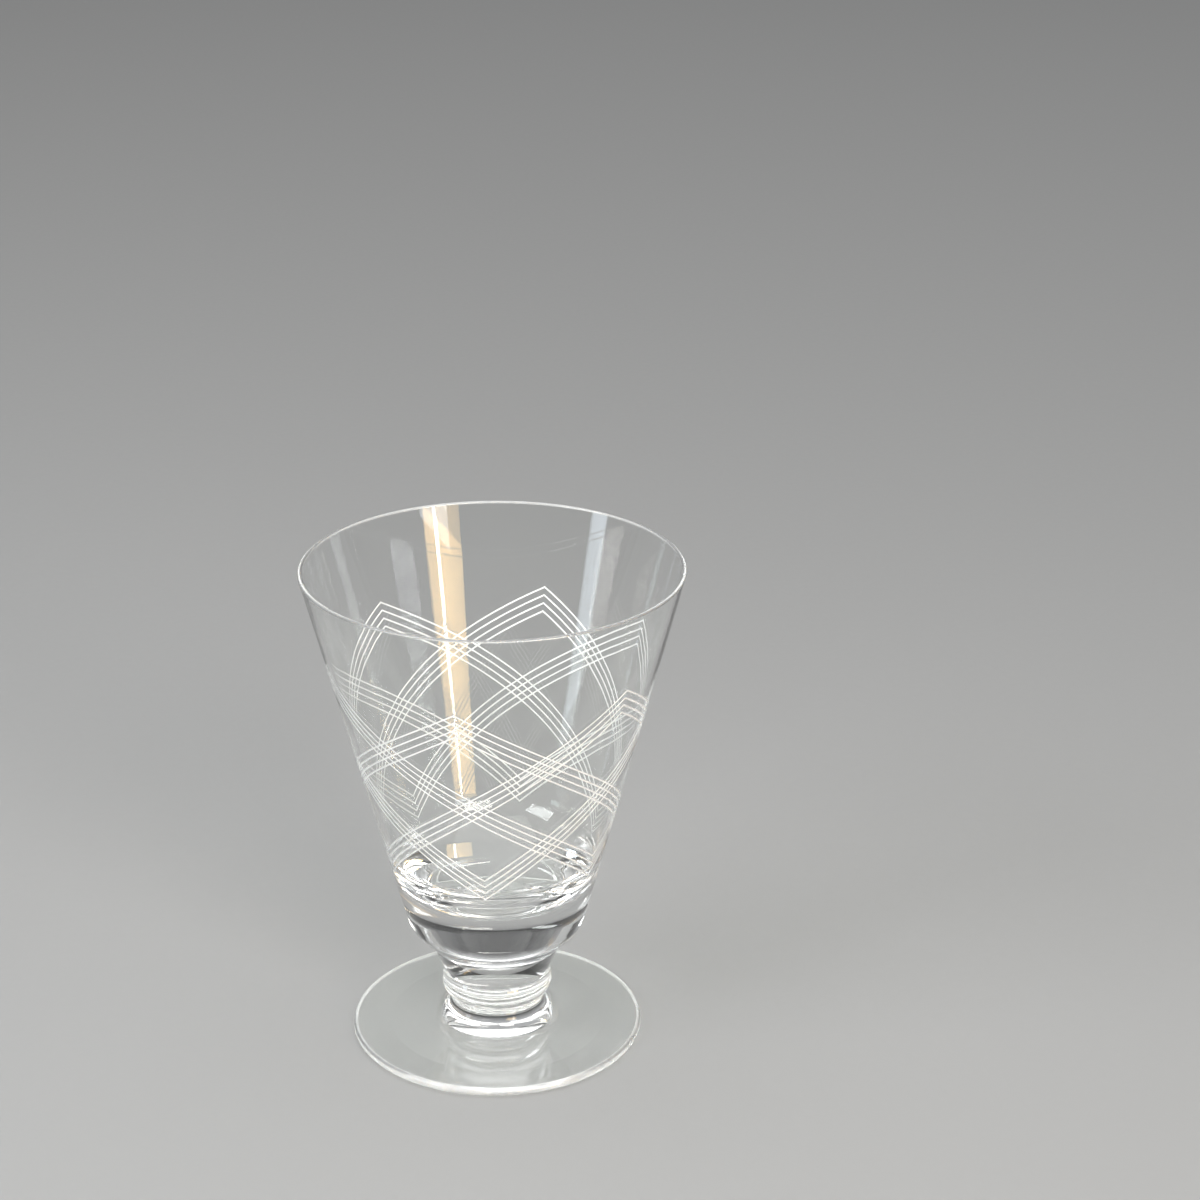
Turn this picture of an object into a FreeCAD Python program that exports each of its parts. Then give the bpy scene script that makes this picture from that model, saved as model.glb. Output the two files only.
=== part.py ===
"""Footed glass tumbler: a thin conical bowl on a short stem, a collar ring and a disc foot.

Units are millimetres.  +Z is up, the axis of the glass is Z, and the origin is the middle of
the plane that the foot stands on.  Each piece is a half profile in the XZ plane, turned about Z.
The pieces are fused while hot in the real glass, so here they meet face to face.
"""
import FreeCAD, Part
import math
import os

# ---- driving dimensions -------------------------------------------------------------------
TOTAL_HEIGHT = 120.0         # table to rim
RIM_RADIUS = 44.7            # outside of the rim
RIM_WALL = 1.0               # wall at the rim, which is fire polished to a full round
WALL_SLOPE = 0.26            # radius gained per millimetre of height on the outside of the bowl

SHOULDER_RADIUS = 9.0        # round between the bowl's wall and its underside
UNDERSIDE_SLOPE = 0.95       # radius gained per millimetre of height on the underside
FLOOR_HEIGHT = 36.5          # lowest point inside the bowl
FLOOR_FLAT_RADIUS = 3.0      # the middle of the floor is flat out to here
CAVITY_CORNER_HEIGHT = 50.0  # where the straight inner wall starts to round into the floor
CAVITY_CORNER_WALL = 1.6     # wall thickness there
FLOOR_FULLNESS = 0.5         # 0 rounds the floor into a cone, 1 into a square corner

STEM_TOP = 22.7              # joint between bowl and stem
STEM_TOP_RADIUS = 15.4
STEM_BOTTOM = 15.8           # joint between stem and collar, the narrowest place
STEM_BOTTOM_RADIUS = 12.5
STEM_BELLY = 0.25            # how far the stem's side swells past a straight taper

COLLAR_RADIUS = 13.4         # widest place of the collar ring
COLLAR_WIDEST = 12.2
COLLAR_BOTTOM = 10.2         # joint between collar and foot, under the ring's overhang
COLLAR_BOTTOM_RADIUS = 11.5

FOOT_RADIUS = 35.25
FOOT_EDGE = 2.1              # thickness of the foot at its rounded edge
FOOT_FLARE_RADIUS = 16.0     # where the foot's top starts to sweep up to the collar
FOOT_FLARE_HEIGHT = 3.5      # height of the foot's top there
RING_INNER_RADIUS = 26.0     # the foot stands on a flat ring from here to its edge
FOOT_HOLLOW = 0.8            # depth of the hollow under the foot


def point(radius, height):
    """A point of a half profile."""
    return FreeCAD.Vector(radius, 0.0, height)


def line(start, end):
    return Part.LineSegment(point(*start), point(*end)).toShape()


def arc(start, middle, end):
    """The arc of a circle through three points of the half profile."""
    return Part.Arc(point(*start), point(*middle), point(*end)).toShape()


def curve(start, start_pull, end_pull, end):
    """A smooth curve that leaves and reaches its ends in the direction of the two pull points."""
    bezier = Part.BezierCurve()
    bezier.setPoles([point(*start), point(*start_pull), point(*end_pull), point(*end)])
    return bezier.toShape()


def turn(edges):
    """Turn a closed half profile about Z into one solid."""
    face = Part.Face(Part.Wire(edges))
    solid = face.revolve(FreeCAD.Vector(0, 0, 0), FreeCAD.Vector(0, 0, 1), 360)
    if solid.ShapeType != "Solid":
        solid = solid.Solids[0]
    return solid


def bulge(start, end, height):
    """The middle point of an arc that swells `height` away from the axis past its chord."""
    run = end[0] - start[0]
    rise = end[1] - start[1]
    length = math.hypot(run, rise)
    middle = ((start[0] + end[0]) / 2, (start[1] + end[1]) / 2)
    return (middle[0] + height * rise / length, middle[1] - height * run / length)


def outer_radius(height):
    """Outside of the bowl's straight wall at a height."""
    return RIM_RADIUS - WALL_SLOPE * (TOTAL_HEIGHT - RIM_WALL / 2 - height)


def shoulder():
    """Start, middle and end of the round between the bowl's underside and its wall."""
    wall_angle = math.atan(WALL_SLOPE)
    under_angle = math.atan(UNDERSIDE_SLOPE)
    corner_z = ((STEM_TOP_RADIUS - UNDERSIDE_SLOPE * STEM_TOP - outer_radius(0))
                / (WALL_SLOPE - UNDERSIDE_SLOPE))
    corner = (outer_radius(corner_z), corner_z)
    setback = SHOULDER_RADIUS * math.tan((under_angle - wall_angle) / 2)
    low = (corner[0] - setback * math.sin(under_angle), corner[1] - setback * math.cos(under_angle))
    high = (corner[0] + setback * math.sin(wall_angle), corner[1] + setback * math.cos(wall_angle))
    centre = (high[0] - SHOULDER_RADIUS * math.cos(wall_angle),
              high[1] + SHOULDER_RADIUS * math.sin(wall_angle))
    middle_angle = (under_angle + wall_angle) / 2
    middle = (centre[0] + SHOULDER_RADIUS * math.cos(middle_angle),
              centre[1] - SHOULDER_RADIUS * math.sin(middle_angle))
    return low, middle, high


def bowl():
    """The drinking bowl: thin conical wall, rounded shoulder and a heavy solid bottom."""
    low, middle, high = shoulder()
    lip_z = TOTAL_HEIGHT - RIM_WALL / 2
    lip_out = (RIM_RADIUS, lip_z)
    lip_top = (RIM_RADIUS - RIM_WALL / 2, TOTAL_HEIGHT)
    lip_in = (RIM_RADIUS - RIM_WALL, lip_z)
    corner = (outer_radius(CAVITY_CORNER_HEIGHT) - CAVITY_CORNER_WALL, CAVITY_CORNER_HEIGHT)
    pull = FLOOR_FULLNESS * (CAVITY_CORNER_HEIGHT - FLOOR_HEIGHT)
    inner_slope = (lip_in[0] - corner[0]) / (lip_in[1] - corner[1])
    corner_pull = (corner[0] - inner_slope * pull, corner[1] - pull)
    floor_edge = (FLOOR_FLAT_RADIUS, FLOOR_HEIGHT)
    floor_pull = (FLOOR_FULLNESS * corner[0], FLOOR_HEIGHT)
    floor = (0.0, FLOOR_HEIGHT)
    bottom = (0.0, STEM_TOP)
    seat = (STEM_TOP_RADIUS, STEM_TOP)
    return turn([
        line(bottom, seat),
        line(seat, low),
        arc(low, middle, high),
        line(high, lip_out),
        arc(lip_out, lip_top, lip_in),
        line(lip_in, corner),
        curve(corner, corner_pull, floor_pull, floor_edge),
        line(floor_edge, floor),
        line(floor, bottom),
    ])


def stem():
    """The short neck under the bowl, narrowing downwards."""
    bottom = (STEM_BOTTOM_RADIUS, STEM_BOTTOM)
    top = (STEM_TOP_RADIUS, STEM_TOP)
    return turn([
        line((0.0, STEM_BOTTOM), bottom),
        arc(bottom, bulge(bottom, top, STEM_BELLY), top),
        line(top, (0.0, STEM_TOP)),
        line((0.0, STEM_TOP), (0.0, STEM_BOTTOM)),
    ])


def quarter_arc(widest, end):
    """The arc that leaves `widest` straight up or down and passes through `end`."""
    inset = widest[0] - end[0]
    rise = end[1] - widest[1]
    radius = (inset ** 2 + rise ** 2) / (2 * inset)
    half = math.asin(abs(rise) / radius) / 2
    middle = (widest[0] - radius * (1 - math.cos(half)),
              widest[1] + math.copysign(radius * math.sin(half), rise))
    return arc(widest, middle, end)


def collar():
    """The ring between stem and foot, which overhangs the neck of the foot below it."""
    bottom = (COLLAR_BOTTOM_RADIUS, COLLAR_BOTTOM)
    widest = (COLLAR_RADIUS, COLLAR_WIDEST)
    top = (STEM_BOTTOM_RADIUS, STEM_BOTTOM)
    return turn([
        line((0.0, COLLAR_BOTTOM), bottom),
        quarter_arc(widest, bottom),
        quarter_arc(widest, top),
        line(top, (0.0, STEM_BOTTOM)),
        line((0.0, STEM_BOTTOM), (0.0, COLLAR_BOTTOM)),
    ])


def tangent_middle(before, start, end):
    """The middle point of the arc that carries on from the line `before`-`start` up to `end`."""
    length = math.dist(before, start)
    along = ((start[0] - before[0]) / length, (start[1] - before[1]) / length)
    side = (-along[1], along[0])
    if side[1] < 0:
        side = (-side[0], -side[1])
    across = (end[0] - start[0], end[1] - start[1])
    radius = (across[0] ** 2 + across[1] ** 2) / (2 * (across[0] * side[0] + across[1] * side[1]))
    centre = (start[0] + side[0] * radius, start[1] + side[1] * radius)
    outward = ((start[0] + end[0]) / 2 - centre[0], (start[1] + end[1]) / 2 - centre[1])
    stretch = radius / math.hypot(*outward)
    return (centre[0] + outward[0] * stretch, centre[1] + outward[1] * stretch)


def foot():
    """The disc foot: rounded edge, top sweeping up to the collar, flat standing ring underneath."""
    edge_round = FOOT_EDGE / 2
    edge_top = (FOOT_RADIUS - edge_round, FOOT_EDGE)
    hub = (COLLAR_BOTTOM_RADIUS, COLLAR_BOTTOM)
    flare_start = (FOOT_FLARE_RADIUS, FOOT_FLARE_HEIGHT)
    edge_side = (FOOT_RADIUS, edge_round)
    edge_bottom = (FOOT_RADIUS - edge_round, 0.0)
    ring_inner = (RING_INNER_RADIUS, 0.0)
    hollow = (0.0, FOOT_HOLLOW)
    hollow_radius = (RING_INNER_RADIUS ** 2 + FOOT_HOLLOW ** 2) / (2 * FOOT_HOLLOW)
    hollow_half = RING_INNER_RADIUS / 2
    hollow_middle = (hollow_half,
                     FOOT_HOLLOW - hollow_radius + math.sqrt(hollow_radius ** 2 - hollow_half ** 2))
    return turn([
        line((0.0, COLLAR_BOTTOM), hub),
        arc(hub, tangent_middle(edge_top, flare_start, hub), flare_start),
        line(flare_start, edge_top),
        arc(edge_top, edge_side, edge_bottom),
        line(edge_bottom, ring_inner),
        arc(ring_inner, hollow_middle, hollow),
        line(hollow, (0.0, COLLAR_BOTTOM)),
    ])


PIECES = {"bowl": bowl, "stem": stem, "collar": collar, "foot": foot}

os.makedirs("parts", exist_ok=True)
for name, make in PIECES.items():
    shape = make()
    shape.exportStep(os.path.join("parts", name + ".step"))
    print(name, shape.isValid(), round(shape.Volume / 1000, 2), "ml of glass", shape.BoundBox)
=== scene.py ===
import math

import bpy
import numpy as np
from mathutils import Matrix, Vector
from mathutils.geometry import delaunay_2d_cdt


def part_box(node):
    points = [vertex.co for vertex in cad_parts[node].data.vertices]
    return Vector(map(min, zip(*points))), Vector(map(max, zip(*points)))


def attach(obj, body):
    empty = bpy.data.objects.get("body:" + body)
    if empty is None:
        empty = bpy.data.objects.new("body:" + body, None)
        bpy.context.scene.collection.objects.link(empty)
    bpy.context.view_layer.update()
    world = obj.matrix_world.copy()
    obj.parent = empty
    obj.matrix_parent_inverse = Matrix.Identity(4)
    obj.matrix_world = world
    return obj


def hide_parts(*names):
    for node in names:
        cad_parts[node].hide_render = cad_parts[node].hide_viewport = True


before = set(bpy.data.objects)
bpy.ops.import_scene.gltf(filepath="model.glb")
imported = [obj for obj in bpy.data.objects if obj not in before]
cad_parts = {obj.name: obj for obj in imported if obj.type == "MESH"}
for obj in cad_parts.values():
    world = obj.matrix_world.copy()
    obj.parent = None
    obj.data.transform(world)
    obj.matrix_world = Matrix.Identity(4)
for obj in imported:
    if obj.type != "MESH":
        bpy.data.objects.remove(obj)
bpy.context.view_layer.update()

MM = 0.001                   # metres in a millimetre

# ---- joints between the pieces, from the CAD boxes ----------------------------------------------
bowl_low, bowl_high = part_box("bowl")
stem_low, stem_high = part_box("stem")
collar_low, collar_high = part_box("collar")
foot_low, foot_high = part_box("foot")
TOTAL_HEIGHT = bowl_high.z / MM
RIM_RADIUS = bowl_high.x / MM
STEM_TOP = stem_high.z / MM
STEM_TOP_RADIUS = stem_high.x / MM
STEM_BOTTOM = stem_low.z / MM
COLLAR_RADIUS = collar_high.x / MM
COLLAR_BOTTOM = foot_high.z / MM
FOOT_RADIUS = foot_high.x / MM

# ---- shape between the joints, in millimetres ---------------------------------------------------
RIM_WALL = 1.0               # the rim is fire polished to a full round
WALL_SLOPE = 0.26            # radius gained per millimetre of height on the outside of the bowl
SHOULDER_RADIUS = 9.0        # round between the bowl's wall and its underside
UNDERSIDE_SLOPE = 0.95       # radius gained per millimetre of height on the underside
FLOOR_HEIGHT = 36.5          # lowest point inside the bowl
FLOOR_FLAT_RADIUS = 3.0      # the middle of the floor is flat out to here
CAVITY_CORNER_HEIGHT = 50.0  # where the straight inner wall starts to round into the floor
CAVITY_CORNER_WALL = 1.6     # wall thickness there
FLOOR_FULLNESS = 0.5         # 0 rounds the floor into a cone, 1 into a square corner
STEM_BOTTOM_RADIUS = 12.5
STEM_BELLY = 0.25            # how far the stem's side swells past a straight taper
COLLAR_WIDEST = 12.2         # height at which the collar ring is widest
COLLAR_BOTTOM_RADIUS = 11.5
FOOT_EDGE = 2.1              # thickness of the foot at its rounded edge
FOOT_FLARE_RADIUS = 16.0     # where the foot's top starts to sweep up to the collar
FOOT_FLARE_HEIGHT = 3.5      # height of the foot's top there
RING_INNER_RADIUS = 26.0     # the foot stands on a flat ring from here to its edge
FOOT_HOLLOW = 0.8            # depth of the hollow under the foot

# ---- engraving: azimuths in degrees, heights in millimetres -------------------------------------
# Each V runs down from one peak to a valley and up to another peak.  The round was divided by eye,
# so one of the six steps between the peaks is short.
ENGRAVED_VS = [(-13, 105, 224), (49, 166, 284), (111, 230, 347),
               (161, 293, 409), (224, 354.5, 471), (284, 416, 521)]
PEAK_HEIGHT = 99.8           # of the highest line of a band
VALLEY_HEIGHT = 52.9
LINES_PER_BAND = 4
PEAK_SPACING = 1.93          # height between neighbouring lines at a peak
VALLEY_SPACING = 1.83
LINE_WIDTH = 0.40
LINE_DEPTH = 0.10
BAND_LOW = 44.0              # the part of the wall that is meshed round the lines
BAND_HIGH = 102.0
BAND_ROW = 2.0               # height between rows of plain points there
LINE_CLEARANCE = 0.5         # plain points nearer a line than this are left out
WALL_LENGTH = math.hypot(1, WALL_SLOPE)  # length along the wall of a millimetre of height

# ---- meshing ------------------------------------------------------------------------------------
STEP = 2                     # degrees between points round the axis
SEAM = 180                   # azimuth where the unrolled wall is closed; a multiple of STEP
FLAT_ASPECT = 0.6            # millimetres a degree takes up when the wall is unrolled
OVERRUN = 0.35               # how far an arm's edges run on past its end, in line widths
NEAR_END = 0.2               # degrees from the end of an arm within which no stop is put
WELD = 0.0001                # millimetres within which points are one point
SAME_PLACE = 6               # decimals that tell unrolled points apart
ON_EDGE = 0.004              # millimetres within which a point lies on the edge of a groove
CLEAR, WORN_AND_HIGHLIT, CUT, JOINT = range(4)  # the materials' places on a glass piece

# ---- materials ----------------------------------------------------------------------------------
GLASS_COLOUR = (0.985, 0.992, 0.985, 1)
GROUND_COLOUR = (0.95, 0.95, 0.94, 1)    # engraved lines
GLASS_IOR = 1.51
LAMP_LIGHT_KEPT = (0.72, 0.73, 0.72, 1)  # share of lamp light that goes on through one surface
STAGE_COLOUR = (0.30, 0.30, 0.297, 1)
STAGE_SHINE = 0.1            # specular level of the stage's floor

# ---- stage and camera: metres and degrees -------------------------------------------------------
STAGE_RADIUS = 8.0
STAGE_SIDES = 96
STAGE_GAP = 0.0002           # keeps the floor and the foot's underside from lying in one plane
SKY_COLOUR = (0.97, 0.98, 1.0, 1)
SKY_LOW, SKY_HIGH = 0.04, 0.45  # brightness of the surroundings at the horizon and overhead
SKY_FROM, SKY_TO = 0.15, 0.6    # sines of the elevations between which it climbs
LAMP_SPREAD = 180
WINDOW_SPREAD = 60           # keeps the window lights off the floor beside them
CAMERA_DISTANCE = 0.5814     # in front of the axis
CAMERA_HEIGHT = 0.3458
CAMERA_DOWN = 21.95          # below level
CAMERA_RIGHT = 2.44          # to the right of the glass
CAMERA_ROLL = 0.27           # anticlockwise, as the camera sees it
SENSOR_WIDTH = 36            # millimetres, as is the lens
LENS = 81.3
NEAR_CLIP = 0.01
GLASS_BOUNCES = 24           # surfaces that light may pass in the thick bottom
GLOSSY_BOUNCES = 12
OPEN_BOUNCES = 32            # see-through surfaces that light may pass


# ---- half profiles ------------------------------------------------------------------------------
# A run is a list of (radius, height, radial normal, upward normal).  Runs go anticlockwise round
# the glass: outwards along the bottom, up the outside, inwards along the top.
def right_of(along):
    """Unit normal on the right of a direction, which is the side facing out of the glass."""
    length = math.hypot(*along)
    return (along[1] / length, -along[0] / length)


def line(start, end, pieces=1):
    """A straight run of equal pieces."""
    normal = right_of((end[0] - start[0], end[1] - start[1]))
    run = []
    for i in range(pieces + 1):
        done = i / pieces
        run.append((start[0] + done * (end[0] - start[0]), start[1] + done * (end[1] - start[1]),
                    *normal))
    return run


def centre_of(start, middle, end):
    """Centre of the circle through three points, and whether they follow it anticlockwise."""
    start_x, start_z = start[0] - end[0], start[1] - end[1]
    middle_x, middle_z = middle[0] - end[0], middle[1] - end[1]
    cross = 2 * (start_x * middle_z - start_z * middle_x)
    start_square = start_x * start_x + start_z * start_z
    middle_square = middle_x * middle_x + middle_z * middle_z
    centre = (end[0] + (middle_z * start_square - start_z * middle_square) / cross,
              end[1] + (start_x * middle_square - middle_x * start_square) / cross)
    return centre, cross > 0


def arc(start, middle, end, pieces):
    """The arc of a circle through three points."""
    centre, anticlockwise = centre_of(start, middle, end)
    radius = math.dist(centre, start)
    first = math.atan2(start[1] - centre[1], start[0] - centre[0])
    last = math.atan2(end[1] - centre[1], end[0] - centre[0])
    if anticlockwise and last < first:
        last += 2 * math.pi
    if not anticlockwise and last > first:
        last -= 2 * math.pi
    facing = 1 if anticlockwise else -1
    run = []
    for i in range(pieces + 1):
        angle = first + (last - first) * i / pieces
        run.append((centre[0] + radius * math.cos(angle), centre[1] + radius * math.sin(angle),
                    facing * math.cos(angle), facing * math.sin(angle)))
    return run


def curve(start, start_pull, end_pull, end, pieces):
    """A cubic curve that leaves and reaches its ends in the direction of the two pull points."""
    run = []
    for i in range(pieces + 1):
        t = i / pieces      # the share of the curve that is done, and u the share to come
        u = 1 - t
        where = [u**3 * a + 3 * u * u * t * b + 3 * u * t * t * c + t**3 * d
                 for a, b, c, d in zip(start, start_pull, end_pull, end)]
        along = [u * u * (b - a) + 2 * u * t * (c - b) + t * t * (d - c)
                 for a, b, c, d in zip(start, start_pull, end_pull, end)]
        run.append((*where, *right_of(along)))
    return run


def bulge(start, end, height):
    """The middle point of an arc that swells `height` to the right of its chord."""
    normal = right_of((end[0] - start[0], end[1] - start[1]))
    return ((start[0] + end[0]) / 2 + height * normal[0], (start[1] + end[1]) / 2 + height * normal[1])


def quarter_middle(widest, end):
    """The middle point of the arc that leaves `widest` straight up or down and reaches `end`."""
    inset = widest[0] - end[0]
    rise = end[1] - widest[1]
    radius = (inset ** 2 + rise ** 2) / (2 * inset)
    half = math.asin(abs(rise) / radius) / 2
    return (widest[0] - radius * (1 - math.cos(half)),
            widest[1] + math.copysign(radius * math.sin(half), rise))


def tangent_middle(before, start, end):
    """The middle point of the arc that carries on from the line `before`-`start` up to `end`."""
    side = right_of((start[0] - before[0], start[1] - before[1]))
    across = (end[0] - start[0], end[1] - start[1])
    radius = (across[0] ** 2 + across[1] ** 2) / (2 * (across[0] * side[0] + across[1] * side[1]))
    centre = (start[0] + side[0] * radius, start[1] + side[1] * radius)
    outward = ((start[0] + end[0]) / 2 - centre[0], (start[1] + end[1]) / 2 - centre[1])
    stretch = abs(radius) / math.hypot(*outward)
    return (centre[0] + outward[0] * stretch, centre[1] + outward[1] * stretch)


def outer_radius(height):
    """Outside of the bowl's straight wall at a height."""
    return RIM_RADIUS - WALL_SLOPE * (TOTAL_HEIGHT - RIM_WALL / 2 - height)


def shoulder():
    """Start, middle and end of the round between the bowl's underside and its wall."""
    wall_angle = math.atan(WALL_SLOPE)
    under_angle = math.atan(UNDERSIDE_SLOPE)
    corner_z = ((STEM_TOP_RADIUS - UNDERSIDE_SLOPE * STEM_TOP - outer_radius(0))
                / (WALL_SLOPE - UNDERSIDE_SLOPE))
    corner = (outer_radius(corner_z), corner_z)
    setback = SHOULDER_RADIUS * math.tan((under_angle - wall_angle) / 2)
    low = (corner[0] - setback * math.sin(under_angle), corner[1] - setback * math.cos(under_angle))
    high = (corner[0] + setback * math.sin(wall_angle), corner[1] + setback * math.cos(wall_angle))
    centre = (high[0] - SHOULDER_RADIUS * math.cos(wall_angle),
              high[1] + SHOULDER_RADIUS * math.sin(wall_angle))
    middle_angle = (under_angle + wall_angle) / 2
    middle = (centre[0] + SHOULDER_RADIUS * math.cos(middle_angle),
              centre[1] - SHOULDER_RADIUS * math.sin(middle_angle))
    return low, middle, high


# ---- glass meshes -------------------------------------------------------------------------------
def place(azimuth, radius, height):
    """The point in metres at an azimuth, radius and height; it also turns a normal round the axis."""
    angle = math.radians(azimuth)
    return Vector((radius * math.sin(angle), -radius * math.cos(angle), height)) * MM


class Glass:
    """Faces of one closed piece, each corner with its own exact surface normal."""

    def __init__(self):
        self.points = []
        self.numbers = {}
        self.faces = []
        self.normals = []
        self.materials = []

    def number(self, where):
        """The number of the point there; points at one place are one point."""
        key = tuple(round(c / WELD / MM) for c in where)
        if key not in self.numbers:
            self.numbers[key] = len(self.points)
            self.points.append(where)
        return self.numbers[key]

    def add(self, corners, normals, material):
        """A face from its corners and their normals; corners that fall together become one."""
        kept = []
        for where, normal in zip(corners, normals):
            number = self.number(where)
            if number not in [k[0] for k in kept]:
                kept.append((number, normal))
        if len(kept) > 2:
            self.faces.append([k[0] for k in kept])
            self.normals.extend(k[1] for k in kept)
            self.materials.append(material)

    def turn(self, run, material=CLEAR):
        """Turn one run of a half profile about the axis."""
        for (radius, height, *normal), (next_radius, next_height, *next_normal) in zip(run, run[1:]):
            for azimuth in range(SEAM - 360, SEAM, STEP):
                after = azimuth + STEP
                corners = [place(azimuth, radius, height), place(after, radius, height),
                           place(after, next_radius, next_height),
                           place(azimuth, next_radius, next_height)]
                normals = [place(azimuth, *normal), place(after, *normal),
                           place(after, *next_normal), place(azimuth, *next_normal)]
                self.add(corners, normals, material)

    def finish(self, name, materials):
        """Make the object, with the exact normals, in place of the CAD node of that name."""
        mesh = bpy.data.meshes.new(name)
        mesh.from_pydata(self.points, [], self.faces)
        for material in materials:
            mesh.materials.append(material)
        mesh.polygons.foreach_set("material_index", self.materials)
        mesh.polygons.foreach_set("use_smooth", [True] * len(self.faces))
        mesh.normals_split_custom_set([n.normalized() for n in self.normals])
        mesh.update()
        piece = bpy.data.objects.new(name + "_glass", mesh)
        bpy.context.scene.collection.objects.link(piece)
        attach(piece, "root")
        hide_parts(name)


# ---- engraved wall ------------------------------------------------------------------------------
# An arm is one straight stretch of a line on the unrolled wall, as (azimuth, height) of its ends.
def engraved_arms():
    """Both arms of every line of every V."""
    arms = []
    for first_peak, valley, last_peak in ENGRAVED_VS:
        for i in range(LINES_PER_BAND):
            low = (valley, VALLEY_HEIGHT - i * VALLEY_SPACING)
            for peak in (first_peak, last_peak):
                high = (peak, PEAK_HEIGHT - i * PEAK_SPACING)
                arms.append(tuple(sorted((low, high))))
    return arms


def across_to_height(arm, height, distance):
    """Change of height that moves a point of an arm sideways by `distance` on the wall."""
    climb = WALL_LENGTH * (arm[1][1] - arm[0][1]) / math.radians(arm[1][0] - arm[0][0])
    radius = outer_radius(height)
    return distance * math.hypot(radius, climb) / (radius * WALL_LENGTH)


def arm_tracks(arm):
    """Lower edge, middle and upper edge of one groove, as lists of (azimuth, height)."""
    (start, low), (end, high) = arm
    slope = (high - low) / (end - start)
    overrun = OVERRUN * math.degrees(LINE_WIDTH / outer_radius(low))
    between = range(math.ceil(start / STEP) * STEP, math.ceil(end), STEP)
    stops = [start] + [a for a in between if start + NEAR_END < a < end - NEAR_END] + [end]
    tips = [(start - overrun, low - overrun * slope), (end + overrun, high + overrun * slope)]
    tracks = []
    for side in (-1, 0, 1):
        track = []
        for azimuth in stops:
            height = low + (azimuth - start) * slope
            track.append((azimuth, height + side * across_to_height(arm, height, LINE_WIDTH / 2)))
        tracks.append([tips[0]] + track + [tips[1]])
    return tracks


def distance_to_lines(arms, azimuths, heights):
    """Distance on the wall from each point to the middle of the nearest arm, in millimetres."""
    radii = outer_radius(heights)
    nearest = np.full(len(azimuths), np.inf)
    for (start, low), (end, high) in arms:
        slope = (high - low) / (end - start)
        climb = math.degrees(slope) * WALL_LENGTH
        for turn in (0, 360):
            along = azimuths + turn
            inside = np.clip(along, start, end)
            sideways = np.radians(along - inside) * radii
            upwards = (heights - (low + (inside - start) * slope)) * WALL_LENGTH
            lean = np.where(along == inside, radii / np.hypot(radii, climb), 1.0)
            nearest = np.minimum(nearest, np.hypot(sideways, upwards * lean))
    return nearest


def unrolled_wall(arms):
    """Points (azimuth, height) of the engraved wall and the edges that must be kept between them."""
    points = []
    numbers = {}
    edges = []

    def number(azimuth, height):
        key = (round(azimuth, SAME_PLACE), round(height, SAME_PLACE))
        if key not in numbers:
            numbers[key] = len(points)
            points.append((azimuth, height))
        return numbers[key]

    for arm in arms:
        for track in arm_tracks(arm):
            for (azimuth, height), (next_azimuth, next_height) in zip(track, track[1:]):
                # whole turns, in degrees, that bring the edge to the turn ending at the seam
                turns = 360 * math.floor(((azimuth + next_azimuth) / 2 - (SEAM - 360)) / 360)
                edges.append((number(azimuth - turns, height),
                              number(next_azimuth - turns, next_height)))
    rows = round((BAND_HIGH - BAND_LOW) / BAND_ROW)
    plain = [(float(azimuth), BAND_LOW + row * BAND_ROW)
             for row in range(rows + 1) for azimuth in range(SEAM - 360, SEAM + 1, STEP)]
    azimuths, heights = np.array(plain).T
    clear = distance_to_lines(arms, azimuths, heights) > LINE_WIDTH / 2 + LINE_CLEARANCE
    for (azimuth, height), free in zip(plain, clear):
        if free:
            number(azimuth, height)
    return points, edges


def engrave(glass):
    """The wall from BAND_LOW to BAND_HIGH, with every line cut into it as a groove."""
    arms = engraved_arms()
    points, edges = unrolled_wall(arms)
    flat = [Vector((azimuth * FLAT_ASPECT, height)) for azimuth, height in points]
    made, _, triangles, origins, _, _ = delaunay_2d_cdt(flat, edges, [], 0, WELD)
    # a given point keeps its exact place; the points where grooves cross are new
    exact = []
    for where, origin in zip(made, origins):
        if origin:
            exact.append(points[origin[0]])
        else:
            exact.append((where.x / FLAT_ASPECT, where.y))
    azimuths, heights = np.array(exact).T
    nearest = distance_to_lines(arms, azimuths, heights)
    depths = LINE_DEPTH * np.clip(1 - nearest / (LINE_WIDTH / 2), 0, 1)
    depths[nearest > LINE_WIDTH / 2 - ON_EDGE] = 0
    normal = right_of((WALL_SLOPE, 1))
    spots = []
    for azimuth, height, depth in zip(azimuths, heights, depths):
        radius = outer_radius(height) - depth * normal[0]
        spots.append(place(azimuth, radius, height - depth * normal[1]))
    for corners in triangles:
        where = [spots[c] for c in corners]
        if max(depths[c] for c in corners) > 0:
            facing = (where[1] - where[0]).cross(where[2] - where[0])
            glass.add(where, [facing] * 3, CUT)
        else:
            glass.add(where, [place(azimuths[c], *normal) for c in corners], CLEAR)


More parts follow.
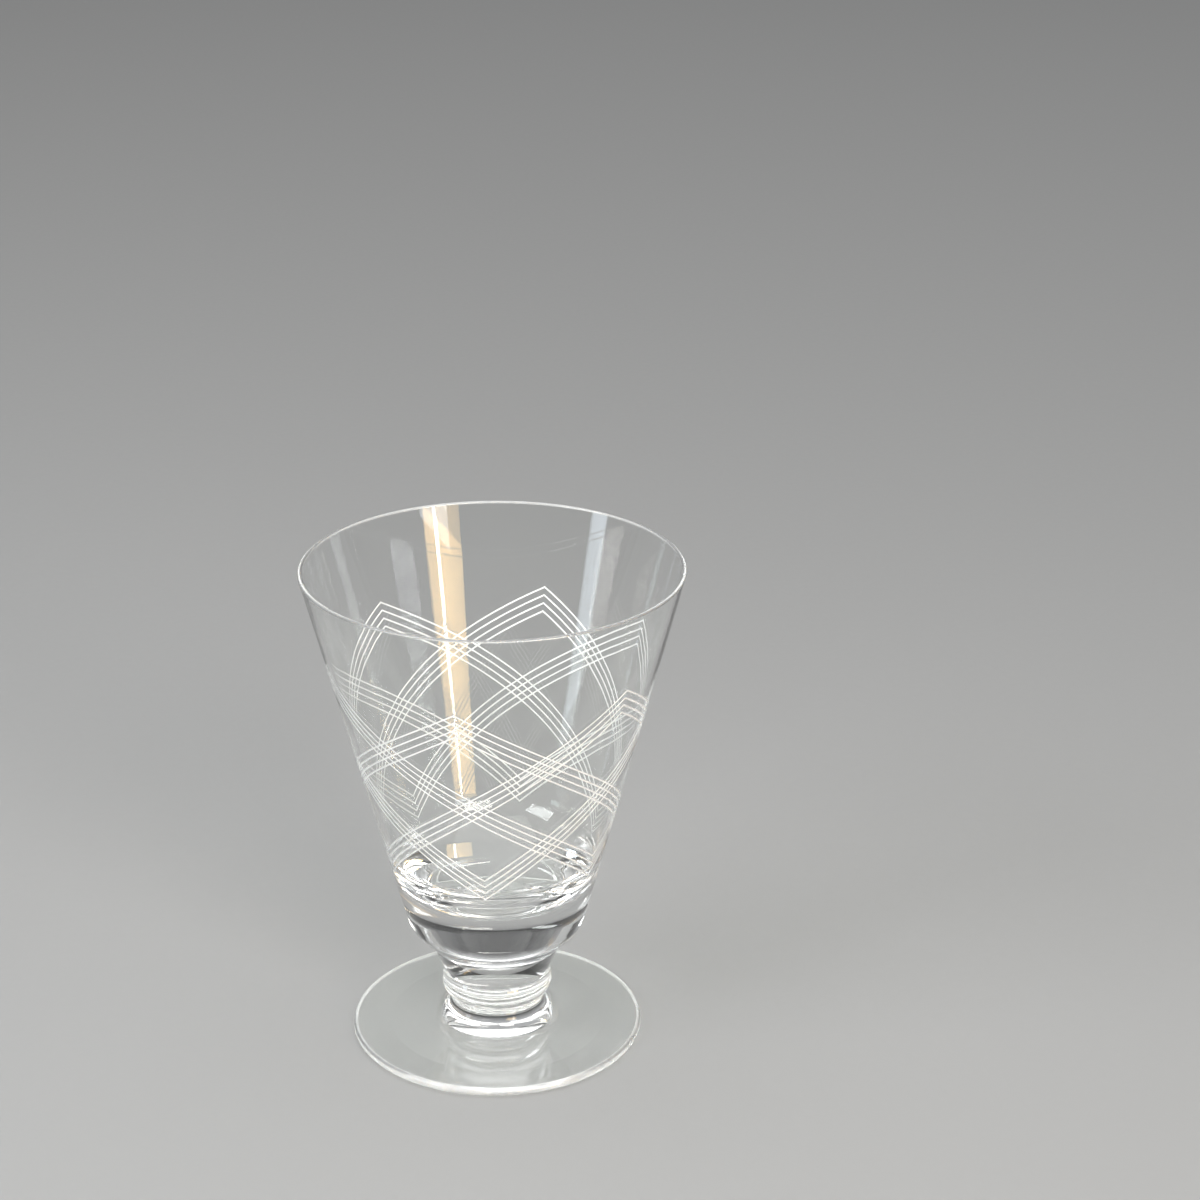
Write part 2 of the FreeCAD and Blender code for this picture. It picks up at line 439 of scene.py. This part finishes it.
# ---- pieces -------------------------------------------------------------------------------------
def bowl(materials):
    """The drinking bowl: thin engraved wall, rounded shoulder and a heavy solid bottom."""
    glass = Glass()
    low, middle, high = shoulder()
    band_low = (outer_radius(BAND_LOW), BAND_LOW)
    band_high = (outer_radius(BAND_HIGH), BAND_HIGH)
    lip_z = TOTAL_HEIGHT - RIM_WALL / 2
    lip_out = (RIM_RADIUS, lip_z)
    lip_top = (RIM_RADIUS - RIM_WALL / 2, TOTAL_HEIGHT)
    lip_in = (RIM_RADIUS - RIM_WALL, lip_z)
    corner = (outer_radius(CAVITY_CORNER_HEIGHT) - CAVITY_CORNER_WALL, CAVITY_CORNER_HEIGHT)
    pull = FLOOR_FULLNESS * (CAVITY_CORNER_HEIGHT - FLOOR_HEIGHT)
    inner_slope = (lip_in[0] - corner[0]) / (lip_in[1] - corner[1])
    corner_pull = (corner[0] - inner_slope * pull, corner[1] - pull)
    floor_edge = (FLOOR_FLAT_RADIUS, FLOOR_HEIGHT)
    floor_pull = (FLOOR_FULLNESS * corner[0], FLOOR_HEIGHT)
    seat = (STEM_TOP_RADIUS, STEM_TOP)
    glass.turn(line((0.0, STEM_TOP), seat), JOINT)
    glass.turn(line(seat, low, pieces=3))
    glass.turn(arc(low, middle, high, pieces=14))
    glass.turn(line(high, band_low, pieces=5))
    engrave(glass)
    glass.turn(line(band_high, lip_out, pieces=6))
    # the rim: slightly worn glass whose whitish scatter is a painted highlight
    glass.turn(arc(lip_out, lip_top, lip_in, pieces=12), WORN_AND_HIGHLIT)
    glass.turn(line(lip_in, corner, pieces=24))
    glass.turn(curve(corner, corner_pull, floor_pull, floor_edge, pieces=32))
    glass.turn(line(floor_edge, (0.0, FLOOR_HEIGHT), pieces=2))
    glass.finish("bowl", materials)


def stem(materials):
    """The short neck under the bowl."""
    glass = Glass()
    bottom = (STEM_BOTTOM_RADIUS, STEM_BOTTOM)
    top = (STEM_TOP_RADIUS, STEM_TOP)
    glass.turn(line((0.0, STEM_BOTTOM), bottom), JOINT)
    glass.turn(arc(bottom, bulge(bottom, top, STEM_BELLY), top, pieces=10))
    glass.turn(line(top, (0.0, STEM_TOP)), JOINT)
    glass.finish("stem", materials)


def collar(materials):
    """The ring between stem and foot, which overhangs the neck of the foot."""
    glass = Glass()
    bottom = (COLLAR_BOTTOM_RADIUS, COLLAR_BOTTOM)
    widest = (COLLAR_RADIUS, COLLAR_WIDEST)
    top = (STEM_BOTTOM_RADIUS, STEM_BOTTOM)
    glass.turn(line((0.0, COLLAR_BOTTOM), bottom), JOINT)
    glass.turn(arc(bottom, quarter_middle(widest, bottom), widest, pieces=14))
    glass.turn(arc(widest, quarter_middle(widest, top), top, pieces=12))
    glass.turn(line(top, (0.0, STEM_BOTTOM)), JOINT)
    glass.finish("collar", materials)


def foot(materials):
    """The disc foot: rounded edge, top sweeping up to the collar, flat ring and hollow underneath."""
    glass = Glass()
    edge_round = FOOT_EDGE / 2
    edge_bottom = (FOOT_RADIUS - edge_round, 0.0)
    edge_side = (FOOT_RADIUS, edge_round)
    edge_top = (FOOT_RADIUS - edge_round, FOOT_EDGE)
    flare_start = (FOOT_FLARE_RADIUS, FOOT_FLARE_HEIGHT)
    hub = (COLLAR_BOTTOM_RADIUS, COLLAR_BOTTOM)
    ring_inner = (RING_INNER_RADIUS, 0.0)
    hollow_radius = (RING_INNER_RADIUS ** 2 + FOOT_HOLLOW ** 2) / (2 * FOOT_HOLLOW)
    half = RING_INNER_RADIUS / 2
    hollow_middle = (half, FOOT_HOLLOW - hollow_radius + math.sqrt(hollow_radius ** 2 - half ** 2))
    glass.turn(arc((0.0, FOOT_HOLLOW), hollow_middle, ring_inner, pieces=14))
    glass.turn(line(ring_inner, edge_bottom, pieces=3))
    # the foot's rounded edge: slightly worn glass whose whitish scatter is a painted highlight
    glass.turn(arc(edge_bottom, edge_side, edge_top, pieces=16), WORN_AND_HIGHLIT)
    glass.turn(line(edge_top, flare_start, pieces=8))
    glass.turn(arc(flare_start, tangent_middle(edge_top, flare_start, hub), hub, pieces=20))
    glass.turn(line(hub, (0.0, COLLAR_BOTTOM)), JOINT)
    glass.finish("foot", materials)


# ---- materials ----------------------------------------------------------------------------------
def new_material(name):
    """A new material, with its nodes, its links and its Principled shader."""
    material = bpy.data.materials.new(name)
    material.use_nodes = True
    nodes = material.node_tree.nodes
    return material, nodes, material.node_tree.links, nodes["Principled BSDF"]


def noise(nodes, links, scale, detail, stretch=(1, 1, 1)):
    """Noise fixed to the object, `scale` per metre; `stretch` makes it finer along an axis."""
    where = nodes.new("ShaderNodeTexCoord")
    mapping = nodes.new("ShaderNodeMapping")
    mapping.inputs["Scale"].default_value = stretch
    texture = nodes.new("ShaderNodeTexNoise")
    texture.inputs["Scale"].default_value = scale
    texture.inputs["Detail"].default_value = detail
    links.new(where.outputs["Object"], mapping.inputs["Vector"])
    links.new(mapping.outputs["Vector"], texture.inputs["Vector"])
    return texture.outputs["Fac"]


def spread(nodes, links, source, source_range, result_range):
    """The source's range stretched to the result's, and cut off beyond it."""
    node = nodes.new("ShaderNodeMapRange")
    node.inputs["From Min"].default_value, node.inputs["From Max"].default_value = source_range
    node.inputs["To Min"].default_value, node.inputs["To Max"].default_value = result_range
    links.new(source, node.inputs["Value"])
    return node.outputs["Result"]


def roughen(nodes, links, shader, height, strength, distance):
    """Bump of a height on a shader; `distance` is the height of 1 in metres."""
    bump = nodes.new("ShaderNodeBump")
    bump.inputs["Strength"].default_value = strength
    bump.inputs["Distance"].default_value = distance
    links.new(height, bump.inputs["Height"])
    links.new(bump.outputs["Normal"], shader.inputs["Normal"])


def let_lamps_through(nodes, links, shader):
    """Light from the lamps reaches what lies behind the glass, as it does in the real room."""
    path = nodes.new("ShaderNodeLightPath")
    opened = nodes.new("ShaderNodeBsdfTransparent")
    opened.inputs["Color"].default_value = LAMP_LIGHT_KEPT
    mix = nodes.new("ShaderNodeMixShader")
    links.new(path.outputs["Is Shadow Ray"], mix.inputs["Fac"])
    links.new(shader.outputs["BSDF"], mix.inputs[1])
    links.new(opened.outputs["BSDF"], mix.inputs[2])
    links.new(mix.outputs["Shader"], nodes["Material Output"].inputs["Surface"])


def soda_glass(name, transmission, roughness_range):
    """Glass with the faint upright waviness of hand-blown work and uneven handling marks."""
    material, nodes, links, shader = new_material(name)
    shader.inputs["Base Color"].default_value = GLASS_COLOUR
    shader.inputs["Transmission Weight"].default_value = transmission
    shader.inputs["IOR"].default_value = GLASS_IOR
    waves = noise(nodes, links, scale=9, detail=1.8, stretch=(6, 6, 1))
    roughen(nodes, links, shader, waves, strength=0.12, distance=0.0006)
    marks = noise(nodes, links, scale=45, detail=2)
    links.new(spread(nodes, links, marks, (0.45, 0.75), roughness_range), shader.inputs["Roughness"])
    let_lamps_through(nodes, links, shader)
    return material


def clear_glass():
    """Polished glass, with a trace of dust."""
    return soda_glass("clear_glass", transmission=1.0, roughness_range=(0.0, 0.03))


def worn_glass_and_painted_highlight():
    """The rim and the foot's edge, which use has made very slightly matt; their whitish matt share is
    a painted highlight, standing in for the bright line that reflections draw along them.
    """
    # a quarter of the light scatters off whitish matt glass here: a painted highlight along the rim
    # and the foot's edge, on top of slight wear
    return soda_glass("worn_glass_and_painted_highlight", transmission=0.75, roughness_range=(0.18, 0.34))


def cut_glass():
    """The engraved lines: ground glass, whitish and matt, rougher in places along the line."""
    material, nodes, links, shader = new_material("engraved_line")
    shader.inputs["Base Color"].default_value = GROUND_COLOUR
    shader.inputs["Transmission Weight"].default_value = 0.3
    shader.inputs["IOR"].default_value = GLASS_IOR
    grit = noise(nodes, links, scale=2500, detail=3)
    roughen(nodes, links, shader, grit, strength=0.5, distance=0.00005)
    links.new(spread(nodes, links, grit, (0.0, 1.0), (0.4, 0.75)), shader.inputs["Roughness"])
    return material


def fused_joint():
    """Inside the glass, where two pieces were fused hot, there is nothing to see."""
    material, _, _, shader = new_material("fused_joint")
    shader.inputs["Alpha"].default_value = 0.0
    return material


# ---- stage --------------------------------------------------------------------------------------
def studio_floor():
    """A wide pale disc, the same from every side."""
    ring = []
    for side in range(STAGE_SIDES):
        angle = 2 * math.pi * side / STAGE_SIDES
        ring.append((STAGE_RADIUS * math.cos(angle), STAGE_RADIUS * math.sin(angle), 0))
    mesh = bpy.data.meshes.new("studio_floor")
    mesh.from_pydata(ring, [], [tuple(range(STAGE_SIDES))])
    material, nodes, links, shader = new_material("pale_floor")
    shader.inputs["Base Color"].default_value = STAGE_COLOUR
    shader.inputs["Specular IOR Level"].default_value = STAGE_SHINE
    grain = noise(nodes, links, scale=400, detail=3)
    links.new(spread(nodes, links, grain, (0.0, 1.0), (0.6, 0.8)), shader.inputs["Roughness"])
    mesh.materials.append(material)
    floor = bpy.data.objects.new("studio_floor", mesh)
    floor.location.z = -STAGE_GAP
    bpy.context.scene.collection.objects.link(floor)


def softbox(name, azimuth, elevation, distance, width, height, watts, colour, spread_angle):
    """A rectangular soft light that faces the middle of the glass."""
    light = bpy.data.lights.new(name, "AREA")
    light.shape = "RECTANGLE"
    light.size = width
    light.size_y = height
    light.energy = watts
    light.color = colour
    light.spread = math.radians(spread_angle)
    lamp = bpy.data.objects.new(name, light)
    around, up = math.radians(azimuth), math.radians(elevation)
    away = Vector((math.sin(around) * math.cos(up), -math.cos(around) * math.cos(up), math.sin(up)))
    target = Vector((0, 0, TOTAL_HEIGHT * MM / 2))
    lamp.location = target + away * distance
    lamp.rotation_euler = away.to_track_quat("Z", "Y").to_euler()
    lamp.visible_camera = False
    bpy.context.scene.collection.objects.link(lamp)


def lights():
    """A large top light, two soft keys, and low window lights that show as streaks in the bowl."""
    # name, azimuth, elevation, distance, width, height, watts, colour, spread
    softbox("overhead", 0, 89, 2.5, 3.0, 3.0, 45, (1.0, 1.0, 1.0), LAMP_SPREAD)
    softbox("window_sky", 37, 19, 1.0, 0.30, 0.26, 0.20, (0.93, 0.96, 1.0), WINDOW_SPREAD)
    softbox("key_right", 22, 34, 1.0, 0.5, 0.3, 6.5, (1.0, 0.97, 0.92), LAMP_SPREAD)
    softbox("key_left", -60, 34, 1.0, 0.5, 0.3, 6.5, (0.95, 0.98, 1.0), LAMP_SPREAD)
    softbox("window_right", 32, 6, 1.0, 0.40, 0.22, 0.22, (1.0, 0.68, 0.30), WINDOW_SPREAD)
    softbox("window_gap", 36, 6, 0.98, 0.03, 0.22, 0.042, (1.0, 0.97, 0.90), WINDOW_SPREAD)
    softbox("window_left", -70, 6, 1.0, 0.2, 0.22, 0.056, (0.80, 0.90, 1.0), WINDOW_SPREAD)


def surroundings():
    """Dim at the horizon and lighter overhead, so that the glass has something dark to reflect."""
    world = bpy.data.worlds.new("studio")
    world.use_nodes = True
    nodes, links = world.node_tree.nodes, world.node_tree.links
    background = nodes["Background"]
    background.inputs["Color"].default_value = SKY_COLOUR
    where = nodes.new("ShaderNodeTexCoord")
    split = nodes.new("ShaderNodeSeparateXYZ")
    links.new(where.outputs["Generated"], split.inputs["Vector"])
    sky = spread(nodes, links, split.outputs["Z"], (SKY_FROM, SKY_TO), (SKY_LOW, SKY_HIGH))
    links.new(sky, background.inputs["Strength"])
    bpy.context.scene.world = world


def camera():
    """The photograph's viewing angle: a little above, looking down past the rim."""
    data = bpy.data.cameras.new("camera")
    data.sensor_width = SENSOR_WIDTH
    data.lens = LENS
    data.clip_start = NEAR_CLIP
    viewer = bpy.data.objects.new("camera", data)
    down, right, roll = (math.radians(angle) for angle in (CAMERA_DOWN, CAMERA_RIGHT, CAMERA_ROLL))
    forward = Vector((math.sin(right) * math.cos(down), math.cos(right) * math.cos(down),
                      -math.sin(down)))
    level = Vector((math.cos(right), -math.sin(right), 0))
    raised = level.cross(forward)
    side = level * math.cos(roll) + raised * math.sin(roll)
    top = raised * math.cos(roll) - level * math.sin(roll)
    turned = Matrix((side, top, -forward)).transposed().to_4x4()
    viewer.matrix_world = Matrix.Translation((0, -CAMERA_DISTANCE, CAMERA_HEIGHT)) @ turned
    bpy.context.scene.collection.objects.link(viewer)
    bpy.context.scene.camera = viewer


def light_paths():
    """Plain colours, light that isn't cut off, and enough bounces for the thick bottom."""
    bpy.context.scene.view_settings.view_transform = "Standard"
    paths = bpy.context.scene.cycles
    paths.sample_clamp_indirect = 0
    paths.max_bounces = GLASS_BOUNCES
    paths.transmission_bounces = GLASS_BOUNCES
    paths.glossy_bounces = GLOSSY_BOUNCES
    paths.transparent_max_bounces = OPEN_BOUNCES


# ---- build --------------------------------------------------------------------------------------
glass_materials = [clear_glass(), worn_glass_and_painted_highlight(), cut_glass(), fused_joint()]
for make in (bowl, stem, collar, foot):
    make(glass_materials)
studio_floor()
lights()
surroundings()
camera()
light_paths()
